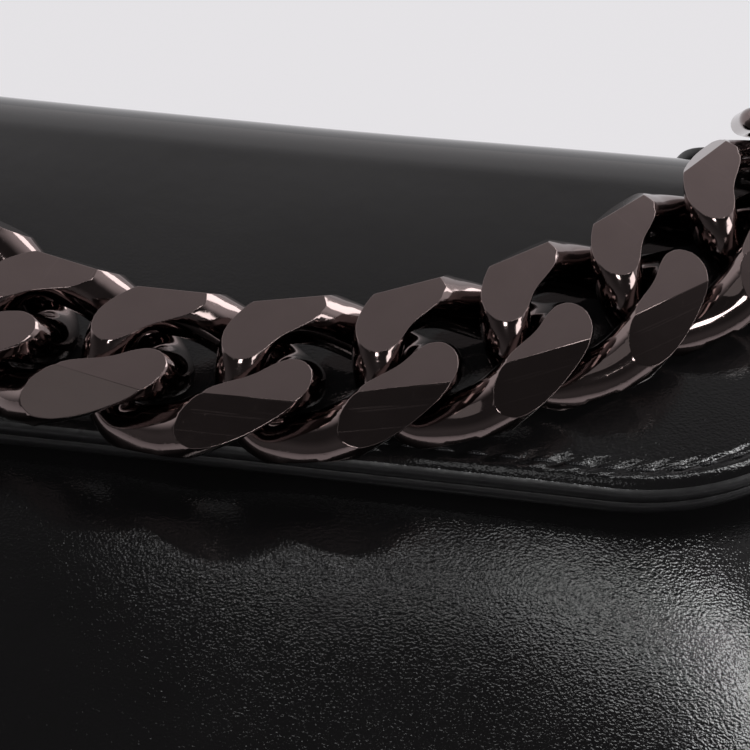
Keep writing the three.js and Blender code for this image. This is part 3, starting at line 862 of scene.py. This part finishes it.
def sew_edge(name, top, height_at, normal):
    """Stitches along the sides and the bottom of a body panel."""
    reach = body_edge_reach(top)
    line = []
    for length in spaced(-reach, reach):
        foot, out = body_edge(length)
        point = foot - out * STITCH_MARGIN
        point.z = height_at(point.x, point.y)
        line.append((point, normal))
    sew(name, line, "bag")


def build_front_panel():
    def outer_height(x, y):
        return front_height(x, y) + front_crown(x, y) + wavy(x, y, FRONT_WAVES)

    def place(x, along, depth):
        y = BODY_BOTTOM + along
        return Vector((x, y, outer_height(x, y) - LEATHER + depth))

    rows = body_rows(0, MOUTH_Y, FRONT_ROWS)
    lay("front_leather", rows, FRONT_COLUMNS, place, LEATHER_GOODS, "bag", "front_panel")
    mouth = MOUTH_Y - STITCH_MARGIN
    sew_edge("front_edge_stitches", mouth, outer_height, UP)
    half = BODY_HALF_WIDTH - 2 * STITCH_MARGIN
    hem = [(Vector((x, mouth, outer_height(x, mouth))), UP) for x in spaced(-half, half)]
    sew("mouth_stitches", hem, "bag")


def build_back_panel():
    def place(x, along, depth):
        return Vector((x, BODY_BOTTOM + along, BACK_Z + LEATHER - depth))

    rows = body_rows(0, BACK_TOP, PANEL_ROWS)
    lay("back_leather", rows, PANEL_COLUMNS, place, LEATHER_GOODS, "bag", "back_panel")
    sew_edge("back_edge_stitches", BACK_TOP - STITCH_MARGIN, lambda x, y: BACK_Z, -UP)


def edge_strip(name, inset, top, from_z, front_inset, bulge, goods, node):
    """A strip that runs round the sides and the bottom of the body, between back and front."""
    reach = body_edge_reach(top)
    half = (FRONT_Z - front_inset - from_z) / 2

    def place(x, along, depth):
        foot, out = body_edge(along - reach)
        share = x / half
        to_z = front_height(foot.x, foot.y) - front_inset
        point = foot + out * (bulge * (1 - share ** 2) - inset - goods["thickness"] + depth)
        point.z = from_z + (to_z - from_z) * (1 + share) / 2
        return point

    lay(name, plain_rows(half, 2 * reach, STRIP_ROWS), STRAP_COLUMNS, place, goods, "bag", node)


def build_gusset():
    edge_strip("gusset_leather", 0, MOUTH_Y, BACK_Z + LEATHER + GAP, LEATHER + GAP, GUSSET_BULGE,
               LEATHER_GOODS, "gusset")


def build_lining():
    """Cloth lining: a back, a front and a strip between them, sewn into one open bag."""
    def back_place(x, along, depth):
        return Vector((x, BODY_BOTTOM + LINING_INSET + along, LINING_BACK_Z + depth))

    def front_place(x, along, depth):
        y = BODY_BOTTOM + LINING_INSET + along
        slack = abs(wavy(x, y, LINING_WAVES))
        return Vector((x, y, front_height(x, y) - LINING_INSET - CLOTH + depth - slack))

    rows = body_rows(LINING_INSET, LINING_TOP, PANEL_ROWS)
    for name, place in [("lining_back", back_place), ("lining_front", front_place)]:
        lay(name, rows, PANEL_COLUMNS, place, CLOTH_GOODS, "bag", "lining")
    edge_strip("lining_strip", LINING_INSET, LINING_TOP, LINING_BACK_Z, LINING_INSET, 0,
               CLOTH_GOODS, "lining")


def build_slip_pocket():
    """Flat pocket on the back of the lining, a little slack at its open top, sewn on three sides."""
    low, high = box_mm("slip_pocket")
    half, length = high.x, high.y - low.y

    def height_at(x, along):
        open_top = smooth(along / length) * math.cos(0.5 * math.pi * x / half)
        return low.z + POCKET_SLACK * open_top

    def place(x, along, depth):
        return Vector((x, low.y + along, height_at(x, along) + depth))

    rows = plain_rows(half, length, PANEL_ROWS)
    lay("pocket_cloth", rows, PANEL_COLUMNS, place, CLOTH_GOODS, "bag", "slip_pocket")
    x, bottom = half - STITCH_MARGIN, low.y + STITCH_MARGIN
    corners = [(-x, high.y), (-x, bottom), (x, bottom), (x, high.y)]
    sew("pocket_stitches", [(Vector((*corner, high.z)), UP) for corner in corners], "bag")
    hem_along = length - STITCH_MARGIN
    sew("pocket_hem_stitches", [(place(hem_x, hem_along, CLOTH), UP) for hem_x in spaced(-x, x)], "bag")


def build_boards():
    """Stiffener sheets between leather and lining."""
    low, high = box_mm("back_board")

    def back_place(x, along, depth):
        return Vector((x, BODY_BOTTOM + LINING_INSET + along, low.z + depth))

    rows = body_rows(LINING_INSET, high.y, BOARD_STEPS)
    goods = dict(BOARD_GOODS, thickness=high.z - low.z)
    lay("back_stiffener", rows, BOARD_STEPS, back_place, goods, "bag", "back_board")
    low, high = box_mm("bottom_board")

    def bottom_place(x, along, depth):
        return Vector((x, low.y + depth, low.z + along))

    rows = plain_rows(high.x, high.z - low.z, BOARD_STEPS)
    goods = dict(BOARD_GOODS, thickness=high.y - low.y)
    lay("bottom_stiffener", rows, BOARD_STEPS, bottom_place, goods, "bag", "bottom_board")


def build_belt_loop(node):
    """Strap on the back: a raised bridge for the belt between two feet that are sewn down."""
    low, high = box_mm(node)
    middle = (low + high) / 2
    half, reach = (high.x - low.x) / 2, (high.y - low.y) / 2
    lift = high.z - LEATHER
    bridge = reach - LOOP_RAMP - LOOP_FOOT

    def place(x, along, depth):
        rise = smooth((abs(along - reach) - bridge) / LOOP_RAMP)
        return Vector((middle.x + x, low.y + along, lift * rise + LEATHER - depth))

    rows = plain_rows(half, 2 * reach, LOOP_ROWS)
    lay(f"{node}_strap", rows, STRAP_COLUMNS, place, STRAP_GOODS, "bag", node)
    left, right = low.x + STITCH_MARGIN, high.x - STITCH_MARGIN
    for side, name in [(-1, "low"), (1, "high")]:
        outer = middle.y + side * (reach - STITCH_MARGIN)
        inner = outer - side * (LOOP_FOOT - STITCH_MARGIN)
        corners = [(left, inner), (left, outer), (right, outer), (right, inner), (left, inner)]
        sew(f"{node}_{name}_stitches", [(Vector((*corner, lift)), -UP) for corner in corners], "bag")


def build_hinge():
    """Strip of thin leather inside the joint of back and flap."""
    half = FLAP_HALF_WIDTH - HINGE_SIDE_MARGIN
    floor = BACK_Z + LEATHER + GAP
    wall = WALL_Y - GAP
    bend = 2 * HINGE_LEATHER
    line = [Vector((wall - HINGE_LEAF, floor))]
    for turn in evenly(0, math.pi / 2, BEND_STEPS):
        line.append(Vector((wall - bend + bend * math.sin(turn), floor + bend * (1 - math.cos(turn)))))
    line.append(Vector((wall, floor + HINGE_LEAF)))
    beside, length = along_line(line)

    def place(x, along, depth):
        return Vector((x, *beside(along, depth)))

    strip = sheet("hinge_leather", plain_rows(half, length, HINGE_ROWS), HINGE_COLUMNS, place, HINGE_GOODS)
    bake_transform(strip)


# Snap
def turned_on(node):
    """Place of a piece turned about Z, from the middle of its CAD node's underside, its radius and height."""
    low, high = box_mm(node)
    foot = Vector(((low.x + high.x) / 2, (low.y + high.y) / 2, low.z))
    return (lambda point: foot + point), (high.x - low.x) / 2, high.z - low.z


def build_snap():
    place, radius, height = turned_on("snap_socket")
    bore = SOCKET_BORE / 2
    floor = height - STUD_POST - GAP
    turn_metal("snap_socket_turned", [
        (0, 0), (radius - SNAP_EDGE, 0), (radius, SNAP_EDGE), (radius, height - 2 * SNAP_EDGE),
        (radius - SNAP_EDGE, height - SNAP_EDGE / 3), (radius - 2 * SNAP_EDGE, height),
        (bore + SNAP_EDGE, height), (bore, height - SNAP_EDGE), (bore, floor), (0, floor),
    ], place, "bag", "snap_socket")

    place, radius, height = turned_on("snap_stud")
    post = STUD_POST_DIAMETER / 2
    turn_metal("snap_stud_turned", [
        (0, 0), (post - SNAP_EDGE, 0), (post, SNAP_EDGE), (post, STUD_POST - SNAP_EDGE),
        (post - SNAP_EDGE, STUD_POST), (radius - 2 * SNAP_EDGE, STUD_POST),
        (radius, STUD_POST + SNAP_EDGE), (radius, height), (0, height),
    ], place, "flap", "snap_stud")

    for node, body in [("snap_socket_washer", "bag"), ("snap_stud_washer", "flap")]:
        place, radius, height = turned_on(node)
        outline = [(0, 0), (radius, 0), (radius, height), (0, height)]
        turn_metal(f"{node}_turned", outline, place, body, node)


# Curb chain
def link_line(turn):
    """Middle of a link's wire: an oval with its two sides twisted out of its plane."""
    return Vector((
        LINK_HALF_LENGTH * math.cos(turn),
        LINK_HALF_WIDTH * math.sin(turn),
        -LINK_TWIST * math.sin(2 * turn),
    ))


def swollen(centre, point):
    """Fills out a link's round wire: sideways on its flanks and towards the link's middle plane.

    The second fades out where the wire crosses that plane and at the link's ends.
    """
    reach = LINK_HALF_WIDTH + LINK_WIRE / 2 - LINK_SWELL_FROM
    share = max(0.0, abs(point.y) - LINK_SWELL_FROM) / reach
    aside = math.copysign(LINK_SWELL * share ** 2, point.y)
    rise = (point.z - centre.z) / (LINK_WIRE / 2)
    deeper = 0.0
    if rise * centre.z < 0:
        twisted = (abs(centre.z) / LINK_TWIST) ** LINK_CROSSING_FADE
        weight = twisted * (centre.y / LINK_HALF_WIDTH) ** LINK_END_FADE
        deeper = LINK_DEEPEN * weight * rise
    return point + Vector((0, aside, deeper))


def grind(bm, point, normal):
    """Cuts off everything above a plane and closes the cut with flat faces."""
    everything = bm.verts[:] + bm.edges[:] + bm.faces[:]
    made = bmesh.ops.bisect_plane(
        bm, geom=everything, dist=LINK_SNAP, plane_co=point, plane_no=normal, clear_outer=True)
    edges = [e for e in made["geom_cut"] if isinstance(e, bmesh.types.BMEdge)]
    for vert in {vert for edge in edges for vert in edge.verts}:
        vert.co -= normal * (vert.co - point).dot(normal)
    bmesh.ops.holes_fill(bm, edges=[e for e in edges if e.is_boundary], sides=0)


def link_mesh():
    """One link: a round wire on the link's line, ground flat on both faces and on its four shoulders."""
    bm = bmesh.new()
    verts = []
    step = math.pi / LINK_STEPS
    for i in range(LINK_STEPS):
        turn = 2 * math.pi * i / LINK_STEPS
        centre = link_line(turn)
        tangent = (link_line(turn + step) - link_line(turn - step)).normalized()
        side = tangent.cross(UP).normalized()
        over = side.cross(tangent)
        for cos, sin in circle(LINK_SIDES):
            point = centre + LINK_WIRE / 2 * (cos * side + sin * over)
            verts.append(bm.verts.new(swollen(centre, point)))
    for face in ring_faces(LINK_STEPS, LINK_SIDES, closed=True):
        bm.faces.new([verts[v] for v in face])
    for face in (-1, 1):
        grind(bm, Vector((0, 0, face * LINK_THICKNESS / 2)), Vector((0, 0, face)))
        for side, ridge, bevel in [(-face, LINK_WIDE_RIDGE, LINK_WIDE_BEVEL),
                                   (face, LINK_NARROW_RIDGE, LINK_NARROW_BEVEL)]:
            normal = Vector((0, side * math.sin(bevel), face * math.cos(bevel)))
            grind(bm, Vector((0, side * ridge, face * LINK_THICKNESS / 2)), normal)
    bmesh.ops.recalc_face_normals(bm, faces=bm.faces)
    sharp = [e for e in bm.edges if len(e.link_faces) == 2 and e.calc_face_angle() > SHARP_EDGE]
    bmesh.ops.bevel(bm, geom=sharp, offset=LINK_EDGE, segments=2, profile=0.5, affect="EDGES",
                    clamp_overlap=True)
    bmesh.ops.scale(bm, vec=(MM, MM, MM), verts=bm.verts)
    mesh = bpy.data.meshes.new("chain_link")
    bm.to_mesh(mesh)
    bm.free()
    mesh.materials.append(METAL_LOOK)
    mesh.shade_smooth()
    return mesh


def swag_frame(length):
    """Place and heading on the hanging line of the chain, at a length along it from its middle."""
    steep = length / SWAG_LOW_RADIUS
    x = SWAG_LOW_RADIUS * math.asinh(steep)
    y = CHAIN_LOW_Y + SWAG_LOW_RADIUS * (math.hypot(1, steep) - 1)
    return Matrix.Translation((x, y, CHAIN_Z)) @ Matrix.Rotation(math.atan(steep), 4, "Z")


def build_chain():
    mesh = link_mesh()
    for i in range(LINK_COUNT):
        place = swag_frame((i - LAST_LINK) * LINK_PITCH)
        place.translation *= MM
        name = f"link_{i + 1:02d}"
        link = add_object(name, mesh)
        link.matrix_world = place
        weighted = link.modifiers.new("flat_faces", "WEIGHTED_NORMAL")
        weighted.keep_sharp = False
        settle(link, "chain", "gunmetal", f"chain_{name}")


# Chain anchors
def link_end(side):
    """Middle of the wire at the end of the swag, and the direction of the wire there."""
    place = swag_frame(side * LAST_LINK * LINK_PITCH)
    point = place @ Vector((side * LINK_HALF_LENGTH, 0, 0))
    wire = place.to_3x3() @ Vector((0, LINK_HALF_WIDTH, -2 * side * LINK_TWIST))
    return point, wire.normalized()


TAB_X = link_end(1)[0].x


def tab_line():
    """Middle line of the folded tab, seen from the side: out from the wall and up."""
    half = (STRAP_LEATHER + GAP) / 2
    spread = math.asin((TAB_LOOP_RADIUS - half) / TAB_THROAT)
    line = [Vector((-half, 0)), Vector((-half, TAB_LEG))]
    for turn in evenly(math.pi + spread, -spread, TAB_LOOP_STEPS):
        bend = Vector((math.cos(turn), math.sin(turn))) * TAB_LOOP_RADIUS
        line.append(bend + Vector((0, TAB_LEG + TAB_THROAT)))
    return line + [Vector((half, TAB_LEG)), Vector((half, 0))]


def from_tab_plane(point):
    """Place along Y and Z of a point in the tab's own plane, which leans out from the wall."""
    y = math.cos(TAB_TILT) * point.x + math.sin(TAB_TILT) * point.y
    z = math.cos(TAB_TILT) * point.y - math.sin(TAB_TILT) * point.x
    return WALL_Y + TAB_OFFSET + STRAP_LEATHER + GAP / 2 + y, BACK_Z + TAB_START + z


def build_tab(side, name):
    beside, length = along_line(tab_line())

    def place(x, along, depth):
        return Vector((side * TAB_X + x, *from_tab_plane(beside(along, depth - STRAP_LEATHER / 2))))

    rows = plain_rows(TAB_WIDTH / 2, length, TAB_ROWS)
    lay(f"tab_strap_{name}", rows, STRAP_COLUMNS, place, TAB_GOODS, "flap", f"chain_tab_{name}")


def build_patch(side, name):
    """Leather patch under the tab, up the wall of the flap and over its fold."""
    end = WALL_LENGTH + PATCH_OVER_FOLD
    length = end - PATCH_START
    half = PATCH_WIDTH / 2
    centre = side * (TAB_X + TAB_WIDTH / 2 + PATCH_SIDE_MARGIN - half)

    def place(x, along, depth):
        point, normal = on_flap(centre + x, end - along, PATCH_OFFSET + depth)
        dip = pucker(x, along, half, PATCH_CORNER, STITCH_MARGIN) if depth == LEATHER else 0.0
        return point + normal * dip

    rows = rounded_rows(half, PATCH_CORNER, CORNER_ROWS, evenly(PATCH_CORNER, length, PATCH_ROWS)[1:])
    lay(f"patch_leather_{name}", rows, PATCH_COLUMNS, place, STRAP_GOODS, "flap", f"anchor_patch_{name}")
    outline = seam_outline(half, PATCH_CORNER, STITCH_MARGIN, length)
    stitched = PATCH_OFFSET + LEATHER - STITCH_DIP
    seam = [on_flap(centre + x, end - along, stitched) for x, along in outline]
    sew(f"patch_stitches_{name}", seam, "flap")


def build_rivet(side, name):
    """Rivet through tab, patch and flap, with a domed head at both ends."""
    inner = WALL_Y - GAP
    outer = WALL_Y + TAB_OFFSET + 2 * (STRAP_LEATHER + GAP)
    outer += (RIVET_HEIGHT + RIVET_HEAD / 2) * math.sin(TAB_TILT)
    head, post = RIVET_HEAD / 2, RIVET_POST / 2
    foot = Vector((side * TAB_X, 0, BACK_Z + TAB_START + RIVET_HEIGHT))

    def place(point):
        return foot + Vector((point.x, point.z, -point.y))

    turns = evenly(0, math.pi / 2, BEND_STEPS)
    dome = [(head * math.sin(turn), RIVET_HEAD_HEIGHT * math.cos(turn)) for turn in turns]
    outline = [(radius, inner - height) for radius, height in dome] + [(post, inner), (post, outer)]
    outline += [(radius, outer + height) for radius, height in reversed(dome)]
    turn_metal(f"rivet_{name}", outline, place, "flap", f"tab_rivet_{name}")


def square_ring_line(half_bar, reach):
    """A square ring with rounded corners: one bar lies on X and the ring reaches along Y."""
    corner = SQUARE_RING_CORNER
    far = reach - corner
    line = []
    centres = [(half_bar, corner), (half_bar, far), (-half_bar, far), (-half_bar, corner)]
    for quarter, (x, y) in enumerate(centres):
        for turn in evenly((quarter - 1) * math.pi / 2, quarter * math.pi / 2, BEND_STEPS):
            line.append(Vector((x + corner * math.cos(turn), y + corner * math.sin(turn))))
    points = []
    for a, b in zip(line, line[1:] + line[:1]):
        points += [a.lerp(b, share) for share in spaced(0, 1, RING_SPACING / (b - a).length)[:-1]]
    return points


def wire_ring(name, line, wire, node):
    """A closed metal ring of round wire."""
    points, faces = tube(line, lambda i: wire / 2, RING_SIDES, closed=True)
    settle(mesh_object(name, points, faces, [METAL_LOOK]), "chain", "gunmetal", node)


def build_rings(side, name):
    """Square ring in the tab and the jump ring that holds the last link in it."""
    point, wire = link_end(side)
    wire = wire * math.copysign(1, wire.x)
    axis = (wire - TO_TOP * wire.dot(TO_TOP)).normalized()
    play = JUMP_RING_RADIUS - JUMP_RING_WIRE / 2 - JUMP_RING_CLEARANCE
    centre = point + TO_TOP * (play - LINK_WIRE / 2 / axis.dot(wire))
    over = axis.cross(TO_TOP)
    line = []
    for turn in evenly(0, 2 * math.pi, RING_STEPS)[:-1]:
        line.append(centre + JUMP_RING_RADIUS * (math.cos(turn) * TO_TOP + math.sin(turn) * over))
    wire_ring(f"jump_ring_wire_{name}", line, JUMP_RING_WIRE, f"jump_ring_{name}")

    bar = Vector((side * TAB_X, *from_tab_plane(Vector((0, TAB_LEG + TAB_THROAT)))))
    far_bar = centre + TO_TOP * (play - SQUARE_RING_WIRE / 2 / axis.dot(ACROSS))
    reach = far_bar - bar
    up = reach.normalized()
    line = [bar + ACROSS * p.x + up * p.y for p in square_ring_line(TAB_WIDTH / 2 + GAP, reach.length)]
    wire_ring(f"square_ring_wire_{name}", line, SQUARE_RING_WIRE, f"square_ring_{name}")


def build_anchors():
    for side, name in [(-1, "left"), (1, "right")]:
        build_patch(side, name)
        build_tab(side, name)
        build_rivet(side, name)
        build_rings(side, name)


# Stage, light and camera
def add_facing(name, data, target, distance, azimuth, elevation):
    """Puts a camera or a lamp in the scene, at a distance from its target and facing it."""
    level = math.cos(elevation)
    away = Vector((level * math.sin(azimuth), level * math.cos(azimuth), math.sin(elevation)))
    made = add_object(name, data)
    made.location = target + away * distance
    made.rotation_euler = (-away).to_track_quat("-Z", "Y").to_euler()
    return made


def build_camera():
    camera = bpy.data.cameras.new("camera")
    camera.sensor_width = SENSOR
    camera.lens = FOCAL_PIXELS / IMAGE_SIDE * SENSOR
    camera.clip_start = CAMERA_NEAR
    camera.clip_end = CAMERA_FAR
    bpy.context.scene.camera = add_facing(
        "camera", camera, CAMERA_TARGET * MM, CAMERA_DISTANCE * MM, CAMERA_AZIMUTH, CAMERA_ELEVATION)


def floor_material():
    """Plain pale colour, as the camera and reflections see it, over a faint shadow.

    Reflections see less of it in front of the bag.
    """
    n = new_material("pale_floor")
    rays = n.add("ShaderNodeLightPath").outputs
    where = n.add("ShaderNodeNewGeometry").outputs["Position"]
    mirrored = n.range(n.parts(where)["Y"], -FLOOR_FADE, FLOOR_FADE,
                       FRONT_FLOOR_SHARE * FLOOR_SHARE, FLOOR_SHARE)
    seen = n.math("MULTIPLY", rays["Is Camera Ray"], FLOOR_SHARE)
    reflected = n.math("MULTIPLY", rays["Is Glossy Ray"], mirrored)
    mix = n.add("ShaderNodeMixShader", {"Fac": n.math("MAXIMUM", seen, reflected)})
    n.put(mix.inputs[1], n.add("ShaderNodeBsdfDiffuse", {"Color": BACKGROUND}).outputs["BSDF"])
    n.put(mix.inputs[2], n.add("ShaderNodeEmission", {"Color": BACKGROUND}).outputs["Emission"])
    n.put(n.tree.nodes["Material Output"].inputs["Surface"], mix.outputs["Shader"])
    n.tree.nodes.remove(n.shader)
    return n.owner


def build_floor():
    mesh = bpy.data.meshes.new("floor")
    corners = [(x * FLOOR_REACH, y * FLOOR_REACH, 0) for x, y in [(-1, -1), (1, -1), (1, 1), (-1, 1)]]
    mesh.from_pydata(corners, [], [(0, 1, 2, 3)])
    mesh.materials.append(floor_material())
    floor = add_object("floor", mesh)


def build_world():
    """Room light: a bright backdrop behind the bag that falls off upwards, dark on the camera's side."""
    world = bpy.data.worlds.new("room")
    bpy.context.scene.world = world
    n = Nodes(world)
    direction = n.parts(n.add("ShaderNodeTexCoord").outputs["Generated"])
    behind = n.ramp(direction["Z"], BACKDROP_LIGHT)
    before = n.ramp(direction["Z"], CAMERA_SIDE_LIGHT)
    turn = n.range(direction["Y"], ROOM_FRONT, ROOM_BACK, interpolation_type="SMOOTHSTEP")
    n.put(n.tree.nodes["Background"].inputs["Color"], n.blend_colour(turn, before, behind))


def softbox(name, azimuth, elevation, width, height, bright):
    """A soft lamp aimed at the bag. Azimuth is in degrees from behind the bag towards +X."""
    lamp = bpy.data.lights.new(name, "AREA")
    lamp.shape = "RECTANGLE"
    lamp.size = width
    lamp.size_y = height
    lamp.energy = bright * math.pi * width * height
    add_facing(name, lamp, LAMP_TARGET, LAMP_DISTANCE, math.radians(azimuth), math.radians(elevation))


def build_lights():
    softbox("key", azimuth=56, elevation=63, width=0.2, height=0.08, bright=12.5)
    softbox("key_wing", azimuth=30, elevation=69, width=0.2, height=0.05, bright=4)
    softbox("key_strip", azimuth=5, elevation=73, width=0.4, height=0.022, bright=5)
    softbox("overhead", azimuth=180, elevation=81, width=0.15, height=0.15, bright=1.2)
    softbox("tail_window", azimuth=38, elevation=16, width=0.44, height=0.22, bright=4.5)
    softbox("side_window", azimuth=105, elevation=26, width=0.5, height=0.2, bright=5)
    softbox("left_front", azimuth=-115, elevation=57, width=0.45, height=0.28, bright=0.3)
    softbox("front_glint", azimuth=178, elevation=50, width=0.16, height=0.16, bright=14)


build_camera()
build_flap()
build_front_panel()
build_back_panel()
build_gusset()
build_lining()
build_slip_pocket()
build_boards()
for loop in ["belt_loop_left", "belt_loop_right"]:
    build_belt_loop(loop)
build_hinge()
build_snap()
build_chain()
build_anchors()
build_floor()
build_world()
build_lights()

bpy.context.scene.view_settings.view_transform = "Standard"
